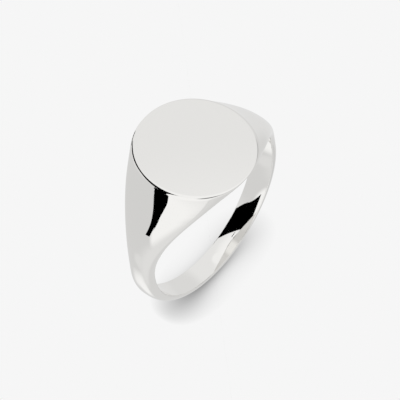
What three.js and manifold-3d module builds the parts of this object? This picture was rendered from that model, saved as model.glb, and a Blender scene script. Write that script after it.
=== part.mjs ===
// A round-topped signet ring, in millimetres, +Z up, standing on its hoop.
//
// The ring is soldered up from five pieces: an oval seal plate, the head that
// carries it, a left and a right shoulder, and the shank that closes the hoop.
// The finger bore runs along Y. The origin is at the lowest point of the hoop,
// and X is the direction across the finger.
//
// Every piece is cut from one smooth form, given as a row of sections. Above
// the bore's centre a section is a horizontal slice, and below it a section is
// a radial slice. Each slice is a crowned D: flat on the finger side, and
// rounded on the outside.

import * as THREE from "three";
import { LoftGeometry } from "three/addons/geometries/LoftGeometry.js";
import { mergeVertices } from "three/addons/utils/BufferGeometryUtils.js";
import Module from "manifold-3d";

const wasm = await Module();
wasm.setup();

// Driving dimensions

const BORE_RADIUS = 9.5;
const FACE_HEIGHT = 10.3; // from the bore's centre up to the seal plate's face
const FACE_HALF_X = 5.82;
const FACE_HALF_Y = 6.6;
const BASE_THICKNESS = 0.76; // of the shank, opposite the face
const SIDE_THICKNESS = 1.16; // of the shank, level with the bore's centre
const BASE_HALF_WIDTH = 1.2;
const SIDE_HALF_WIDTH = 1.37;
const PLATE_THICKNESS = 0.45;
const PLATE_BEVEL = 0.12;
const SOLDER_GAP = 0.1;

// Heights of the solder joints above the bore's centre

const HEAD_JOINT = 7;
const SHANK_JOINT = 1;

// The outline seen along the bore: from the side of the shank, straight up at
// first, to the edge of the face, where it arrives at the shoulder's slope

const SHOULDER_SLOPE = THREE.MathUtils.degToRad(59.6);
const SIDE_HANDLE = 5.85;
const SHOULDER_HANDLE = 3.9;

// How sharply the form changes: the flare of the shoulders' width, the thinning
// of the shank, and the squareness of the crown on the face and on the shank

const FLARE_POWER = 2.1;
const THINNING_POWER = 3.75;
const FACE_SQUARENESS = 2;
const SHANK_SQUARENESS = 2.6;
const SOFTENING_HEIGHT = 8; // above the bore's centre, where the crown is fully round
const PARTING_HEIGHT = 8.5; // above the bore's centre, where the crown leaves the bore's rim

// Fineness of the facets

const CROWN_STEPS = 14;
const SHANK_STEPS = 44;
const SHOULDER_STEPS = 7;
const HEAD_STEPS = 8;
const BORE_FACETS = 96;
const HAIR = 0.01;
const WELD_DISTANCE = 1e-5;

const SIDE_X = BORE_RADIUS + SIDE_THICKNESS;
const BORE_CENTRE_HEIGHT = BORE_RADIUS + BASE_THICKNESS;

const outline = new THREE.CubicBezierCurve(
  new THREE.Vector2(SIDE_X, 0),
  new THREE.Vector2(SIDE_X, SIDE_HANDLE),
  new THREE.Vector2(
    FACE_HALF_X + SHOULDER_HANDLE * Math.cos(SHOULDER_SLOPE),
    FACE_HEIGHT - SHOULDER_HANDLE * Math.sin(SHOULDER_SLOPE),
  ),
  new THREE.Vector2(FACE_HALF_X, FACE_HEIGHT),
);

// The outline's distance from the ring's middle plane at a height above the
// bore's centre, found by halving because the curve rises all the way.
function outlineX(height) {
  let low = 0;
  let high = 1;
  for (let i = 0; i < 40; i++) {
    const middle = (low + high) / 2;
    if (outline.getPoint(middle).y < height) low = middle;
    else high = middle;
  }
  return outline.getPoint(low).x;
}

// Half the form's width along the bore, at a height above the bore's centre.
function halfWidth(height) {
  if (height > 0) {
    const rise = (height / FACE_HEIGHT) ** FLARE_POWER;
    return THREE.MathUtils.lerp(SIDE_HALF_WIDTH, FACE_HALF_Y, rise);
  }
  const drop = (height / BORE_RADIUS) ** 2;
  return THREE.MathUtils.lerp(SIDE_HALF_WIDTH, BASE_HALF_WIDTH, drop);
}

function squareness(height) {
  const share = THREE.MathUtils.clamp(height / SOFTENING_HEIGHT, 0, 1);
  return THREE.MathUtils.lerp(SHANK_SQUARENESS, FACE_SQUARENESS, share);
}

// How far from the middle plane the round part of a slice starts. It is at the
// bore's rim at first, and above PARTING_HEIGHT it runs on smoothly to the middle
// of the face. There it stops at a hair, so that the two sides of a slice never
// share a point.
function crownStart(height) {
  const low = Math.min(height, PARTING_HEIGHT);
  const rim = Math.sqrt(BORE_RADIUS ** 2 - low ** 2);
  const slope = low / rim;
  const reach = FACE_HEIGHT - PARTING_HEIGHT;
  const bend = (rim - slope * reach) / reach ** 2;
  const rise = height - low;
  return Math.max(rim - slope * rise - bend * rise ** 2, HAIR);
}

// The crown of one section, as pairs (out, across), both from 0 to 1 in size:
// it starts at the -Y rim, passes the outermost line and ends at the +Y rim.
function crown(power) {
  const points = [];
  for (let i = 0; i <= CROWN_STEPS; i++) {
    const angle = Math.PI * (i / CROWN_STEPS - 0.5);
    const out = Math.max(Math.cos(angle), 0) ** (2 / power);
    const across = Math.sign(angle) * Math.abs(Math.sin(angle)) ** (2 / power);
    points.push([out, across]);
  }
  return points;
}

// A horizontal slice of one side of the form. side is 1 for +X and -1 for -X.
function sideSlice(height, side) {
  const start = crownStart(height);
  const reach = outlineX(height) - start;
  const width = halfWidth(height);
  return crown(squareness(height)).map(
    ([out, across]) =>
      new THREE.Vector3(side * (start + reach * out), width * across, height),
  );
}

// A radial slice of the shank, at an angle from +X round the bore.
function radialSlice(angle) {
  const sine = Math.sin(angle);
  const cosine = Math.cos(angle);
  const thinning = Math.abs(cosine) ** THINNING_POWER;
  const thickness = THREE.MathUtils.lerp(BASE_THICKNESS, SIDE_THICKNESS, thinning);
  const width = halfWidth(BORE_RADIUS * sine);
  return crown(SHANK_SQUARENESS).map(([out, across]) => {
    const radius = BORE_RADIUS + thickness * out;
    return new THREE.Vector3(radius * cosine, width * across, radius * sine);
  });
}

// A horizontal slice right across the form, with the bore filled in.
function fullSlice(height) {
  return [...sideSlice(height, 1), ...sideSlice(height, -1).reverse()];
}

function evenly(from, to, steps) {
  return Array.from({ length: steps + 1 }, (_, i) =>
    THREE.MathUtils.lerp(from, to, i / steps),
  );
}

// A closed body through a row of sections. Seen from its end, looking back, each
// section runs anticlockwise.
function loft(sections) {
  return closedMesh(new LoftGeometry(sections, { capStart: true, capEnd: true }));
}

// A three.js geometry as a solid body, once its shared corners are merged.
function closedMesh(geometry) {
  const plain = new THREE.BufferGeometry().copy(geometry);
  plain.deleteAttribute("normal");
  plain.deleteAttribute("uv");
  const merged = mergeVertices(plain, WELD_DISTANCE);
  return new wasm.Manifold(
    new wasm.Mesh({
      numProp: 3,
      vertProperties: merged.getAttribute("position").array,
      triVerts: new Uint32Array(merged.index.array),
    }),
  );
}

function geometryOf(body) {
  const { vertProperties, triVerts } = body.getMesh();
  const geometry = new THREE.BufferGeometry();
  geometry.setAttribute("position", new THREE.BufferAttribute(vertProperties, 3));
  geometry.setIndex(new THREE.BufferAttribute(triVerts, 1));
  geometry.computeVertexNormals();
  return geometry;
}

// The pieces

// The oval table, its rim bevelled where it meets the face.
function sealPlate() {
  const underside = FACE_HEIGHT - PLATE_THICKNESS;
  const face = fullSlice(FACE_HEIGHT).map(
    (point) =>
      new THREE.Vector3(
        (point.x * (FACE_HALF_X - PLATE_BEVEL)) / FACE_HALF_X,
        (point.y * (FACE_HALF_Y - PLATE_BEVEL)) / FACE_HALF_Y,
        FACE_HEIGHT,
      ),
  );
  return loft([fullSlice(underside), fullSlice(FACE_HEIGHT - PLATE_BEVEL), face]);
}

// The block under the plate, hollowed by the bore into an arch with two feet.
function head() {
  const top = FACE_HEIGHT - PLATE_THICKNESS - SOLDER_GAP;
  const feet = HEAD_JOINT + SOLDER_GAP / 2;
  const heights = [...evenly(feet, BORE_RADIUS, HEAD_STEPS), top];
  const block = loft(heights.map(fullSlice));
  const bore = new THREE.CylinderGeometry(
    BORE_RADIUS,
    BORE_RADIUS,
    4 * FACE_HALF_Y,
    BORE_FACETS,
  );
  return block.subtract(closedMesh(bore));
}

// One tapered shoulder, between the shank and the head.
function shoulder(side) {
  const foot = SHANK_JOINT + SOLDER_GAP / 2;
  const top = HEAD_JOINT - SOLDER_GAP / 2;
  const heights = evenly(foot, top, SHOULDER_STEPS);
  if (side < 0) heights.reverse();
  return loft(heights.map((height) => sideSlice(height, side)));
}

// The rest of the hoop, from the left shoulder round the base to the right one.
function shank() {
  const end = SHANK_JOINT - SOLDER_GAP / 2;
  const angles = evenly(-Math.PI, 0, SHANK_STEPS);
  return loft([sideSlice(end, -1), ...angles.map(radialSlice), sideSlice(end, 1)]);
}

// Each piece is polished silver, a shade apart so that the joints show.
function piece(name, body, color) {
  const material = new THREE.MeshStandardMaterial({ color, roughness: 0.12, metalness: 1 });
  const mesh = new THREE.Mesh(geometryOf(body), material);
  mesh.name = name;
  return mesh;
}

const ring = new THREE.Group();
ring.position.z = BORE_CENTRE_HEIGHT;
ring.add(
  piece("seal_plate", sealPlate(), 0xe4e3df),
  piece("head", head(), 0xd2d1cd),
  piece("shoulder_left", shoulder(-1), 0xd8d7d3),
  piece("shoulder_right", shoulder(1), 0xd8d7d3),
  piece("shank", shank(), 0xd0cfcb),
);

export default ring;
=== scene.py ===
"""A polished silver signet ring standing on its hoop, on a plain pale floor.

The CAD frame gives the five pieces. Each of them is replaced here by a fine mesh of the same
form, so the two share their dimensions, which are in millimetres about the bore's centre.
The whole skin of the ring is made once, with its shading normals, and is then parted at the
solder joints, so that the joints don't show.

An azimuth is in degrees from +Y towards +X, and an elevation in degrees above the floor.
Left and right are as the camera sees them. It looks down from beyond the -X, -Y corner.
"""

import math

import bpy
import numpy as np
from mathutils import Matrix, Vector


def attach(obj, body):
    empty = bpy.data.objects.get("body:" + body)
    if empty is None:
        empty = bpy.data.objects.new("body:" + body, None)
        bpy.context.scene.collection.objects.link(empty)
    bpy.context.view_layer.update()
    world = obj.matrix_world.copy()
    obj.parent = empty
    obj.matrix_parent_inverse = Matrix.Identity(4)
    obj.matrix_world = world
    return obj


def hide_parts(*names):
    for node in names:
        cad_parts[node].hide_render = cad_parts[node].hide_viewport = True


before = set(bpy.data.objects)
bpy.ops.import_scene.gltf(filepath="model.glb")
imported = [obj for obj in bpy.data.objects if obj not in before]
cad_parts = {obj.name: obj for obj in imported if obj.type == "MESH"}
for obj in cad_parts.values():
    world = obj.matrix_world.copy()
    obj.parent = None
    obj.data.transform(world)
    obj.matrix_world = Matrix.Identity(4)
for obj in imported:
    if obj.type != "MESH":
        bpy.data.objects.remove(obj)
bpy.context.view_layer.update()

MM = 0.001

# Driving dimensions, the same as the frame's, in millimetres about the bore's centre

BORE_RADIUS = 9.5
FACE_HEIGHT = 10.3
FACE_HALF_X = 5.82
FACE_HALF_Y = 6.6
BASE_THICKNESS = 0.76
SIDE_THICKNESS = 1.16
BASE_HALF_WIDTH = 1.2
SIDE_HALF_WIDTH = 1.37
HEAD_JOINT = 7.0
SHANK_JOINT = 1.0
SHOULDER_SLOPE = math.radians(59.6)
SIDE_HANDLE = 5.85
SHOULDER_HANDLE = 3.9
FLARE_POWER = 2.1
THINNING_POWER = 3.75
FACE_SQUARENESS = 2.0
SHANK_SQUARENESS = 2.6
SOFTENING_HEIGHT = 8.0  # above which the crown is fully round
PARTING_HEIGHT = 8.5  # where the crown leaves the bore's rim
BORE_CENTRE = BORE_RADIUS + BASE_THICKNESS  # above the floor

# What the fine mesh adds

PLATE_THICKNESS = 0.5
SHANK_ROUNDING = 0.1  # where the crown meets the bore, on the shank
HEAD_ROUNDING = 0.1  # and under the seal plate
FACE_ROUNDING = 0.28  # where the seal plate's side meets its face
BORE_DOME = 0.08  # how far the bore's middle stands in from its rims

# Fineness

CROWN_STEPS = 48
FLAT_STEPS = 4
EDGE_STEPS = 12
BORE_STEPS = 12
SHANK_STEPS = 180
SHOULDER_STEPS = 28
ARCH_STEPS = 40
ROOF_STEPS = 2
PLATE_STEPS = 5
HALVINGS = 40
SLIVER = 0.01  # the shortest flat that is made
POINT_GRID = 1e5  # steps per millimetre: points on the same step are one
MOST_CURVED_CORNERS = 8  # a face with more corners is a large flat one, shaded flat
CREST = math.pi / 2 - 1e-12  # the bore's top, where the angle still tells one side from the other

# The silver, with lengths in metres

SILVER = (0.9, 0.892, 0.872)
HAZE_SCALE = 260  # per metre
HAZE_DETAIL = 4
HAZE_NOISE = (0.3, 0.7)
HAZE_ROUGHNESS = (0.02, 0.045)
WEAR_POINTINESS = (0.52, 0.62)
WEAR_ROUGHNESS = 0.05
SCRATCH_SCALE = (9000, 500, 9000)  # per metre
SCRATCH_TURN = (0.0, 0.3, 0.5)
SCRATCH_DETAIL = 2
SCRATCH_DEPTH = 3e-7

# The studio: a plain wall with large soft panels, which only reflections see

WALL_TONE = 0.70
PANELS = (  # azimuth, elevation, radius of the core, radius of the soft rim, brightness
    (0, -90, 30, 100, 0.71),
    (20, 50, 35, 70, 0.855),
    (-112, 25, 36, 42, 0.99),
    (-165, 5, 12, 34, 0.80),
    (-110, -30, 15, 45, 0.80),
    (0, 90, 20, 37, 0.97),
    (70, 5, 8, 28, 0.76),
    (58, -35, 12, 30, 0.78),
    (-58, -65, 7, 22, 0.98),
    (-136, 50, 4, 18, 0.2),
    (97, 34, 4, 16, 0.45),
    (43.5, 62, 4.5, 9, 0.95),
    (126, -55, 2, 8, 0.64),
    (-66, -33, 3, 12, 0.78),
)

# The far card, in azimuth and elevation about the bore's centre

FAR_CARD_DISTANCE = 1000.0  # millimetres
FAR_CARD_START = -76.0
FAR_CARD_END = 13.0
FAR_CARD_LOWER_EDGE = ((-60, 26), (-30, 35), (-10, 20), (0, 20), (13, 35.6))  # its corners
FAR_CARD_SAG = 0.055  # how fast the lower edge curves down before its first corner
FAR_CARD_CREST = 59.5  # the upper edge's elevation
FAR_CARD_FALL_START = -45.0  # the azimuth where it starts to curve down
FAR_CARD_FALL = 0.0045  # and how fast
FAR_CARD_COLUMNS = 50
FAR_CARD_HEIGHTS = 12

# The near card, which stands beside the left shoulder, in the plane X = NEAR_CARD_X, in
# millimetres, with heights above the floor

NEAR_CARD_X = -10.0
NEAR_CARD_FOOT = 16.55
NEAR_CARD_SPREAD = 20.3  # the height where it is widest
NEAR_CARD_TOP = 22.5
NEAR_CARD_FRONT = -0.6  # the Y of its front edge at the foot
NEAR_CARD_FRONT_FLARE = (0.3, 6)  # size and power of the front edge's curve outwards
NEAR_CARD_BACK_FLARES = ((1.9, 2.5), (0.8, 12))  # and of the back edge's, from Y = 0
NEAR_CARD_TAPER = 1.7  # how far the front edge draws in above the widest height
NEAR_CARD_ROWS = 40

# The rim card, which stands behind the face's left edge, in the plane Y = RIM_CARD_Y, in
# millimetres, with heights above the floor

RIM_CARD_Y = 8.0
RIM_CARD_ROWS = (((-3.4, 20.4), (-1.3, 20.4)), ((-3.4, 21.2), (-1.3, 21.7)))  # X, height

# The floor, which glows evenly and has the ring's shadow painted on

FLOOR_HALF = 3.0  # metres
FLOOR_TONE = 0.922
PAINTED_SHADE_TONE = 0.0  # tone of the painted shadow where the ring hides all of the light
PAINTED_SHADE_REACH = 3.0  # millimetres, beyond which the ring paints no shadow
PAINTED_SHADE_LEAN = (84, 50)  # azimuth and elevation that the painted shadow leans away from, as if the light came from there
PAINTED_SHADE_SAMPLES = 32

# The camera

CAMERA_AZIMUTH = 223.77
CAMERA_ELEVATION = 54.64
CAMERA_ROLL = math.radians(-9.18)
CAMERA_DISTANCE = 0.264  # metres
CAMERA_LENS = 234.6
CAMERA_SENSOR = 36
CAMERA_SHIFT = (-0.011, 0.019)
CAMERA_CLIP = (0.01, 20)  # metres


# The form


def lerp(a, b, share):
    return a + (b - a) * share


OUTLINE_CORNERS = np.array(
    [
        (BORE_RADIUS + SIDE_THICKNESS, 0.0),
        (BORE_RADIUS + SIDE_THICKNESS, SIDE_HANDLE),
        (
            FACE_HALF_X + SHOULDER_HANDLE * math.cos(SHOULDER_SLOPE),
            FACE_HEIGHT - SHOULDER_HANDLE * math.sin(SHOULDER_SLOPE),
        ),
        (FACE_HALF_X, FACE_HEIGHT),
    ]
)


def outline_point(t):
    """A point (X, height) on the outline seen along the bore, a cubic curve."""
    weights = ((1 - t) ** 3, 3 * t * (1 - t) ** 2, 3 * t * t * (1 - t), t**3)
    return np.dot(weights, OUTLINE_CORNERS)


def outline_x(height):
    """The outline's distance from the middle plane at a height, found by halving."""
    low, high = 0.0, 1.0
    for _ in range(HALVINGS):
        middle = (low + high) / 2
        if outline_point(middle)[1] < height:
            low = middle
        else:
            high = middle
    return outline_point(low)[0]


def half_width(height):
    """Half the form's width along the bore, at a height above the bore's centre."""
    if height > 0:
        return lerp(SIDE_HALF_WIDTH, FACE_HALF_Y, (height / FACE_HEIGHT) ** FLARE_POWER)
    return lerp(SIDE_HALF_WIDTH, BASE_HALF_WIDTH, (height / BORE_RADIUS) ** 2)


def squareness(height):
    """The power of the crown's curve at a height: 2 is an ellipse, and more is squarer."""
    share = min(max(height / SOFTENING_HEIGHT, 0), 1)
    return lerp(SHANK_SQUARENESS, FACE_SQUARENESS, share)


def crown(power):
    """(out, across) of a crowned section from its -Y rim over the top to its +Y rim."""
    angles = np.linspace(-math.pi / 2, math.pi / 2, CROWN_STEPS + 1)
    out = np.maximum(np.cos(angles), 0) ** (2 / power)
    across = np.sign(angles) * np.abs(np.sin(angles)) ** (2 / power)
    return out, across


def rounding(angle):
    """The radius of the rim's rounding at an angle from +X round the bore."""
    return lerp(SHANK_ROUNDING, HEAD_ROUNDING, max(math.sin(angle), 0) ** 2)


def crown_start(height):
    """How far from the middle plane the round part of a slice starts.

    It is at the bore's rim at first, and from PARTING_HEIGHT up it runs on smoothly to the
    middle of the face.
    """
    low = min(height, PARTING_HEIGHT)
    rim = math.sqrt((BORE_RADIUS + HEAD_ROUNDING) ** 2 - low**2)
    slope = low / rim
    reach = FACE_HEIGHT - PARTING_HEIGHT
    bend = (rim - slope * reach) / reach**2
    rise = height - low
    return rim - slope * rise - bend * rise**2


def side_slice(height, side, rim=0.0):
    """The outside of a horizontal slice of one side: flat from the rim, and then the crown."""
    out, across = crown(squareness(height))
    start = crown_start(height)
    if start < rim + SLIVER:
        start = rim
    flat = np.linspace(rim, start, FLAT_STEPS, endpoint=False)
    x = np.concatenate([flat, start + (outline_x(height) - start) * out, flat[::-1]])
    ends = np.ones(FLAT_STEPS)
    y = half_width(height) * np.concatenate([-ends, across, ends])
    return np.stack([side * x, y, np.full_like(x, height)], axis=1)


def radial_slice(angle):
    """The outside of a slice of the shank, at an angle from +X round the bore.

    Its end points are repeated, so that it has as many points as a horizontal slice.
    """
    thinning = abs(math.cos(angle)) ** THINNING_POWER
    thickness = lerp(BASE_THICKNESS, SIDE_THICKNESS, thinning)
    out, across = (np.pad(values, FLAT_STEPS, "edge") for values in crown(SHANK_SQUARENESS))
    radius = BORE_RADIUS + SHANK_ROUNDING + (thickness - SHANK_ROUNDING) * out
    y = half_width(BORE_RADIUS * math.sin(angle)) * across
    return np.stack([radius * math.cos(angle), y, radius * math.sin(angle)], axis=1)


def outer_slice(angle):
    """The outside at an angle round the bore: horizontal above its centre, radial below."""
    radius = BORE_RADIUS + rounding(angle)
    height = radius * math.sin(angle)
    if height > 0:
        rim = radius * abs(math.cos(angle))
        return side_slice(height, 1 if math.cos(angle) > 0 else -1, rim)
    return radial_slice(angle)


def bore_slice(angle):
    """The domed finger side at an angle, from the -Y rim's rounding to the +Y one's."""
    width = half_width(BORE_RADIUS * math.sin(angle)) - rounding(angle)
    y = np.linspace(-width, width, BORE_STEPS + 1)
    radius = BORE_RADIUS - BORE_DOME * (1 - (y / width) ** 2)
    return np.stack([radius * math.cos(angle), y, radius * math.sin(angle)], axis=1)


def round_corner(start, corner, end, steps):
    """A round corner from start to end, as a quadratic curve."""
    t = np.linspace(0, 1, steps + 1)[:, None]
    return (1 - t) ** 2 * start + 2 * t * (1 - t) * corner + t * t * end


def rim_slice(angle, side, outer):
    """The rounding between the bore and the outside's edge, which is the point `outer`."""
    width = half_width(BORE_RADIUS * math.sin(angle))
    size = rounding(angle)
    slope = 2 * BORE_DOME / (width - size)
    radius = BORE_RADIUS + slope * size
    outwards = np.array([math.cos(angle), 0, math.sin(angle)])
    inner = BORE_RADIUS * outwards + np.array([0, side * (width - size), 0])
    corner = radius * outwards + np.array([0, side * width, 0])
    return round_corner(inner, corner, outer, EDGE_STEPS)


def full_slice(height):
    """A closed slice right across the form, above the bore."""
    right = side_slice(height, 1)
    left = side_slice(height, -1)[::-1]
    return np.concatenate([right, left[1:]])


# The skin, as shared points and faces that belong to the pieces


class Skin:
    """Points shared by all the pieces' faces, so that shading runs on over the joints."""

    def __init__(self):
        self.points = []
        self.index = {}
        self.faces = {}

    def point(self, p):
        key = tuple(int(round(float(c) * POINT_GRID)) for c in p)
        if key not in self.index:
            self.index[key] = len(self.points)
            self.points.append([float(c) for c in p])
        return self.index[key]

    def face(self, piece, corners):
        """A face whose corners are given clockwise, seen from outside."""
        loop = [self.point(p) for p in corners][::-1]
        loop = [v for i, v in enumerate(loop) if v != loop[i - 1]]
        if len(set(loop)) == len(loop) and len(loop) > 2:
            self.faces.setdefault(piece, []).append(loop)

    def sheet(self, piece, rows, flip=False):
        """Quads between neighbouring rows of points."""
        for a, b in zip(rows, rows[1:]):
            for i in range(len(a) - 1):
                corners = [a[i], a[i + 1], b[i + 1], b[i]]
                self.face(piece, corners[::-1] if flip else corners)

    def normals(self):
        """Each point's normal, from the faces round it.

        They count by their size, except for a large flat one, which counts as 1.
        """
        points = np.array(self.points)
        sums = np.zeros_like(points)
        for loops in self.faces.values():
            for loop in loops:
                corners = points[loop]
                area = np.zeros(3)
                for i in range(len(loop)):
                    area += np.cross(corners[i - 1], corners[i])
                if len(loop) > MOST_CURVED_CORNERS:
                    area = area / np.linalg.norm(area)
                sums[loop] += area
        return sums / np.linalg.norm(sums, axis=1)[:, None]


skin = Skin()


def add_hoop(piece, angles):
    """A stretch of the hoop: its outside, its bore and its two rounded rims."""
    outside = [outer_slice(a) for a in angles]
    skin.sheet(piece, outside, flip=True)
    skin.sheet(piece, [bore_slice(a) for a in angles])
    skin.sheet(piece, [rim_slice(a, -1, row[0]) for a, row in zip(angles, outside)], flip=True)
    skin.sheet(piece, [rim_slice(a, 1, row[-1]) for a, row in zip(angles, outside)])


def add_head_and_shank():
    """Everything below the seal plate."""
    shank_end = math.asin(SHANK_JOINT / BORE_RADIUS)
    head_foot = math.asin(HEAD_JOINT / BORE_RADIUS)
    add_hoop("shank", np.linspace(-math.pi - shank_end, shank_end, SHANK_STEPS + 1))
    right = np.linspace(shank_end, head_foot, SHOULDER_STEPS + 1)
    add_hoop("shoulder_right", right)
    add_hoop("shoulder_left", math.pi - right[::-1])

    arch = np.linspace(head_foot, CREST, ARCH_STEPS + 1)
    add_hoop("head", arch)
    add_hoop("head", math.pi - arch[::-1])
    roof = BORE_RADIUS + HEAD_ROUNDING
    heights = np.linspace(roof, FACE_HEIGHT - PLATE_THICKNESS, ROOF_STEPS + 1)
    skin.sheet("head", [full_slice(h) for h in heights], flip=True)


def add_seal_plate():
    """The plate's side, its rounded rim and its flat face."""
    top = FACE_HEIGHT - FACE_ROUNDING
    heights = np.linspace(FACE_HEIGHT - PLATE_THICKNESS, top, PLATE_STEPS + 1)
    sides = [full_slice(h) for h in heights]
    skin.sheet("seal_plate", sides, flip=True)
    edge = full_slice(FACE_HEIGHT)
    scale = np.array(
        [1 - FACE_ROUNDING / FACE_HALF_X, 1 - FACE_ROUNDING / FACE_HALF_Y, 1]
    )
    face = edge * scale
    roundings = [
        round_corner(side, corner, inner, EDGE_STEPS + 1)
        for side, corner, inner in zip(sides[-1], edge, face)
    ]
    skin.sheet("seal_plate", roundings)
    skin.face("seal_plate", list(face[:-1][::-1]))


# The pieces


def open_loops(faces):
    """The closed lines of edges that have only one face, each in order."""
    edges = set()
    for loop in faces:
        for a, b in zip(loop, loop[1:] + loop[:1]):
            if (b, a) in edges:
                edges.remove((b, a))
            else:
                edges.add((a, b))
    following = dict(edges)
    loops = []
    while following:
        start, point = following.popitem()
        line = [start]
        while point != start:
            line.append(point)
            point = following.pop(point)
        loops.append(line)
    return loops


def make_piece(name, material, normals):
    """One closed piece of the skin, with flat ends at its solder joints."""
    faces = skin.faces[name]
    ends = [loop[::-1] for loop in open_loops(faces)]
    used = sorted({v for loop in faces for v in loop})
    place = {v: i for i, v in enumerate(used)}
    mesh = bpy.data.meshes.new(name)
    points = (np.array(skin.points)[used] + [0, 0, BORE_CENTRE]) * MM
    loops = [[place[v] for v in loop] for loop in faces + ends]
    mesh.from_pydata(points.tolist(), [], loops)
    mesh.polygons.foreach_set("use_smooth", [True] * len(mesh.polygons))
    mesh.update()
    shading = []
    for i, loop in enumerate(faces + ends):
        flat = i >= len(faces) or len(loop) > MOST_CURVED_CORNERS
        for v in loop:
            shading.append(mesh.polygons[i].normal if flat else Vector(normals[v]))
    mesh.normals_split_custom_set(shading)
    mesh.materials.append(material)
    obj = bpy.data.objects.new("fine_" + name, mesh)
    bpy.context.scene.collection.objects.link(obj)
    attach(obj, "root")
    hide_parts(name)


def make_ring():
    add_head_and_shank()
    add_seal_plate()
    silver = polished_silver()
    normals = skin.normals()
    for name in ("shank", "shoulder_left", "shoulder_right", "head", "seal_plate"):
        make_piece(name, silver, normals)


# Material


def map_range(material, value, before, after):
    """A value's share of one range, as the same share of another."""
    node = material.node_tree.nodes.new("ShaderNodeMapRange")
    node.inputs["From Min"].default_value, node.inputs["From Max"].default_value = before
    node.inputs["To Min"].default_value, node.inputs["To Max"].default_value = after
    material.node_tree.links.new(value, node.inputs["Value"])
    return node.outputs["Result"]


def polished_silver():
    """Mirror-polished silver, with a haze that comes and goes, worn edges and fine scratches."""
    material = bpy.data.materials.new("polished_silver")
    material.use_nodes = True
    nodes, links = material.node_tree.nodes, material.node_tree.links
    shader = nodes["Principled BSDF"]
    shader.inputs["Metallic"].default_value = 1.0
    shader.inputs["Base Color"].default_value = (*SILVER, 1)
    place = nodes.new("ShaderNodeTexCoord").outputs["Object"]
    roughness = add_haze_and_wear(material, place)
    links.new(roughness, shader.inputs["Roughness"])
    links.new(add_scratches(material, place), shader.inputs["Normal"])
    return material


def add_haze_and_wear(material, place):
    """The silver's roughness: a little more in hazy patches and along worn edges."""
    nodes, links = material.node_tree.nodes, material.node_tree.links
    haze = nodes.new("ShaderNodeTexNoise")
    haze.inputs["Scale"].default_value = HAZE_SCALE
    haze.inputs["Detail"].default_value = HAZE_DETAIL
    links.new(place, haze.inputs["Vector"])
    spread = map_range(material, haze.outputs["Fac"], HAZE_NOISE, HAZE_ROUGHNESS)
    edges = nodes.new("ShaderNodeNewGeometry").outputs["Pointiness"]
    wear = map_range(material, edges, WEAR_POINTINESS, (0.0, WEAR_ROUGHNESS))
    both = nodes.new("ShaderNodeMath")
    both.operation = "ADD"
    links.new(spread, both.inputs[0])
    links.new(wear, both.inputs[1])
    return both.outputs[0]


def add_scratches(material, place):
    """The bumped normal of long, very shallow polishing scratches."""
    nodes, links = material.node_tree.nodes, material.node_tree.links
    stretch = nodes.new("ShaderNodeMapping")
    stretch.inputs["Scale"].default_value = SCRATCH_SCALE
    stretch.inputs["Rotation"].default_value = SCRATCH_TURN
    links.new(place, stretch.inputs["Vector"])
    scratches = nodes.new("ShaderNodeTexNoise")
    scratches.inputs["Scale"].default_value = 1
    scratches.inputs["Detail"].default_value = SCRATCH_DETAIL
    links.new(stretch.outputs[0], scratches.inputs["Vector"])
    bump = nodes.new("ShaderNodeBump")
    bump.inputs["Distance"].default_value = SCRATCH_DEPTH
    links.new(scratches.outputs["Fac"], bump.inputs["Height"])
    return bump.outputs[0]


def emission(name, colour):
    """A material that only glows, and the socket of its colour."""
    material = bpy.data.materials.new(name)
    material.use_nodes = True
    nodes, links = material.node_tree.nodes, material.node_tree.links
    nodes.clear()
    glow = nodes.new("ShaderNodeEmission")
    glow.inputs["Color"].default_value = colour
    end = nodes.new("ShaderNodeOutputMaterial")
    links.new(glow.outputs[0], end.inputs["Surface"])
    return material, glow.inputs["Color"]


# Studio


def stage_object(name, mesh, material):
    obj = bpy.data.objects.new(name, mesh)
    bpy.context.scene.collection.objects.link(obj)
    obj.data.materials.append(material)
    return obj


def direction(azimuth, elevation):
    """A unit vector towards an azimuth and an elevation."""
    a, e = math.radians(azimuth), math.radians(elevation)
    return Vector((math.sin(a) * math.cos(e), math.cos(a) * math.cos(e), math.sin(e)))


def make_floor():
    """A pale glowing floor, with a soft shadow painted on where the ring is close above it."""
    half = FLOOR_HALF
    mesh = bpy.data.meshes.new("floor")
    corners = [(-half, -half, 0), (half, -half, 0), (half, half, 0), (-half, half, 0)]
    mesh.from_pydata(corners, [], [(0, 1, 2, 3)])
    material, colour = emission("pale_floor_painted_shade", (1, 1, 1, 1))
    nodes, links = material.node_tree.nodes, material.node_tree.links
    # The painted shadow: the floor's glow darkens by how much of a leaned hemisphere the ring
    # hides close by, with no lamp casting it.
    lean = nodes.new("ShaderNodeCombineXYZ")
    for axis, value in zip("XYZ", direction(*PAINTED_SHADE_LEAN)):
        lean.inputs[axis].default_value = value
    painted_shade = nodes.new("ShaderNodeAmbientOcclusion")
    painted_shade.samples = PAINTED_SHADE_SAMPLES
    painted_shade.inputs["Distance"].default_value = PAINTED_SHADE_REACH * MM
    links.new(lean.outputs[0], painted_shade.inputs["Normal"])
    ramp = nodes.new("ShaderNodeValToRGB")
    dark, pale = ramp.color_ramp.elements
    dark.color = (*[PAINTED_SHADE_TONE] * 3, 1)
    pale.color = (*[FLOOR_TONE] * 3, 1)
    links.new(painted_shade.outputs["AO"], ramp.inputs["Fac"])
    links.new(ramp.outputs["Color"], colour)
    floor = stage_object("floor", mesh, material)
    floor.visible_glossy = False


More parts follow.
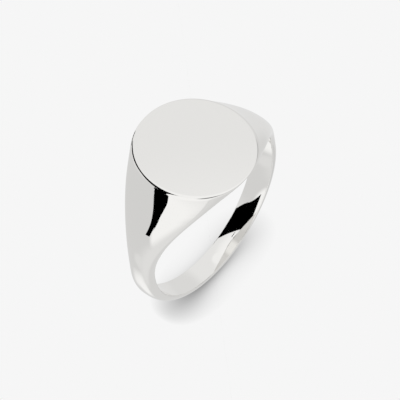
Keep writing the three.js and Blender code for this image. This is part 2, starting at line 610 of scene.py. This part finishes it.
def add_panel(tree, place, tone, panel):
    """The world's tone with one more soft round panel laid over it."""
    azimuth, elevation, core, rim, brightness = panel
    aim = tree.nodes.new("ShaderNodeVectorMath")
    aim.operation = "DOT_PRODUCT"
    aim.inputs[1].default_value = direction(azimuth, elevation)
    tree.links.new(place, aim.inputs[0])
    mask = tree.nodes.new("ShaderNodeMapRange")
    mask.interpolation_type = "SMOOTHSTEP"
    mask.inputs["From Min"].default_value = math.cos(math.radians(rim))
    mask.inputs["From Max"].default_value = math.cos(math.radians(core))
    tree.links.new(aim.outputs["Value"], mask.inputs["Value"])
    mix = tree.nodes.new("ShaderNodeMix")
    mix.inputs["A"].default_value = WALL_TONE
    mix.inputs["B"].default_value = brightness
    tree.links.new(mask.outputs["Result"], mix.inputs["Factor"])
    if tone is not None:
        tree.links.new(tone, mix.inputs["A"])
    return mix.outputs["Result"]


def make_world():
    """A round studio: reflections see its panels, and all else sees one plain tone."""
    world = bpy.data.worlds.new("studio")
    bpy.context.scene.world = world
    world.use_nodes = True
    tree = world.node_tree
    nodes, links = tree.nodes, tree.links
    place = nodes.new("ShaderNodeTexCoord").outputs["Generated"]
    tone = None
    for panel in PANELS:
        tone = add_panel(tree, place, tone, panel)
    seen = nodes.new("ShaderNodeBackground")
    links.new(tone, seen.inputs["Color"])
    plain = nodes["Background"]
    plain.inputs["Color"].default_value = (1, 1, 1, 1)
    plain.inputs["Strength"].default_value = FLOOR_TONE
    path = nodes.new("ShaderNodeLightPath")
    mix = nodes.new("ShaderNodeMixShader")
    links.new(path.outputs["Is Glossy Ray"], mix.inputs[0])
    links.new(plain.outputs[0], mix.inputs[1])
    links.new(seen.outputs[0], mix.inputs[2])
    links.new(mix.outputs[0], nodes["World Output"].inputs["Surface"])


def black_card(name, rows):
    """A black card through rows of points, which only the polished metal sees."""
    points = [p for row in rows for p in row]
    wide = len(rows[0])
    faces = [
        (r * wide + i, r * wide + i + 1, (r + 1) * wide + i + 1, (r + 1) * wide + i)
        for r in range(len(rows) - 1)
        for i in range(wide - 1)
    ]
    mesh = bpy.data.meshes.new(name)
    mesh.from_pydata(points, [], faces)
    card = stage_object(name, mesh, emission(name, (0, 0, 0, 1))[0])
    card.visible_camera = False
    card.visible_diffuse = False


def far_card_edges(azimuth):
    """The lowest and the highest elevation of the far card at an azimuth."""
    corners = list(zip(*FAR_CARD_LOWER_EDGE))
    lower = np.interp(azimuth, *corners)
    lower -= FAR_CARD_SAG * max(corners[0][0] - azimuth, 0) ** 2
    upper = FAR_CARD_CREST - FAR_CARD_FALL * max(azimuth - FAR_CARD_FALL_START, 0) ** 2
    return lower, upper


def make_far_card():
    """The wide card high on the left, which blackens the hoop's inside and the face's rim."""
    centre = Vector((0, 0, BORE_CENTRE)) * MM
    rows = []
    for azimuth in np.linspace(FAR_CARD_START, FAR_CARD_END, FAR_CARD_COLUMNS):
        heights = np.linspace(*far_card_edges(azimuth), FAR_CARD_HEIGHTS)
        rows.append([centre + direction(azimuth, e) * FAR_CARD_DISTANCE * MM for e in heights])
    black_card("far_card", rows)


def near_card_edges(height):
    """The Y of the near card's front and back edge at a height."""
    share = min((height - NEAR_CARD_FOOT) / (NEAR_CARD_SPREAD - NEAR_CARD_FOOT), 1)
    past = max(height - NEAR_CARD_SPREAD, 0) / (NEAR_CARD_TOP - NEAR_CARD_SPREAD)
    size, power = NEAR_CARD_FRONT_FLARE
    front = NEAR_CARD_FRONT - size * share**power + NEAR_CARD_TAPER * past
    back = sum(size * share**power for size, power in NEAR_CARD_BACK_FLARES)
    return front, back


def make_near_card():
    """The small card close beside the left shoulder, which puts a black wedge on it."""
    heights = np.linspace(NEAR_CARD_FOOT, NEAR_CARD_TOP, NEAR_CARD_ROWS)
    rows = [[Vector((NEAR_CARD_X, y, h)) * MM for y in near_card_edges(h)] for h in heights]
    black_card("near_card", rows)


def make_rim_card():
    """The small card close behind the face's left edge, which lengthens the rim's dark line."""
    rows = [[Vector((x, RIM_CARD_Y, z)) * MM for x, z in row] for row in RIM_CARD_ROWS]
    black_card("rim_card", rows)


def make_camera():
    data = bpy.data.cameras.new("camera")
    data.sensor_width = CAMERA_SENSOR
    data.lens = CAMERA_LENS
    data.shift_x, data.shift_y = CAMERA_SHIFT
    data.clip_start, data.clip_end = CAMERA_CLIP
    camera = bpy.data.objects.new("camera", data)
    bpy.context.scene.collection.objects.link(camera)
    back = direction(CAMERA_AZIMUTH, CAMERA_ELEVATION)
    camera.location = Vector((0, 0, BORE_CENTRE * MM)) + back * CAMERA_DISTANCE
    aim = (-back).to_track_quat("-Z", "Y").to_matrix()
    camera.rotation_euler = (aim @ Matrix.Rotation(CAMERA_ROLL, 3, "Z")).to_euler()
    bpy.context.scene.camera = camera


make_ring()
make_floor()
make_world()
make_far_card()
make_near_card()
make_rim_card()
make_camera()
bpy.context.scene.view_settings.view_transform = "Standard"
bpy.context.scene.cycles.caustics_reflective = False
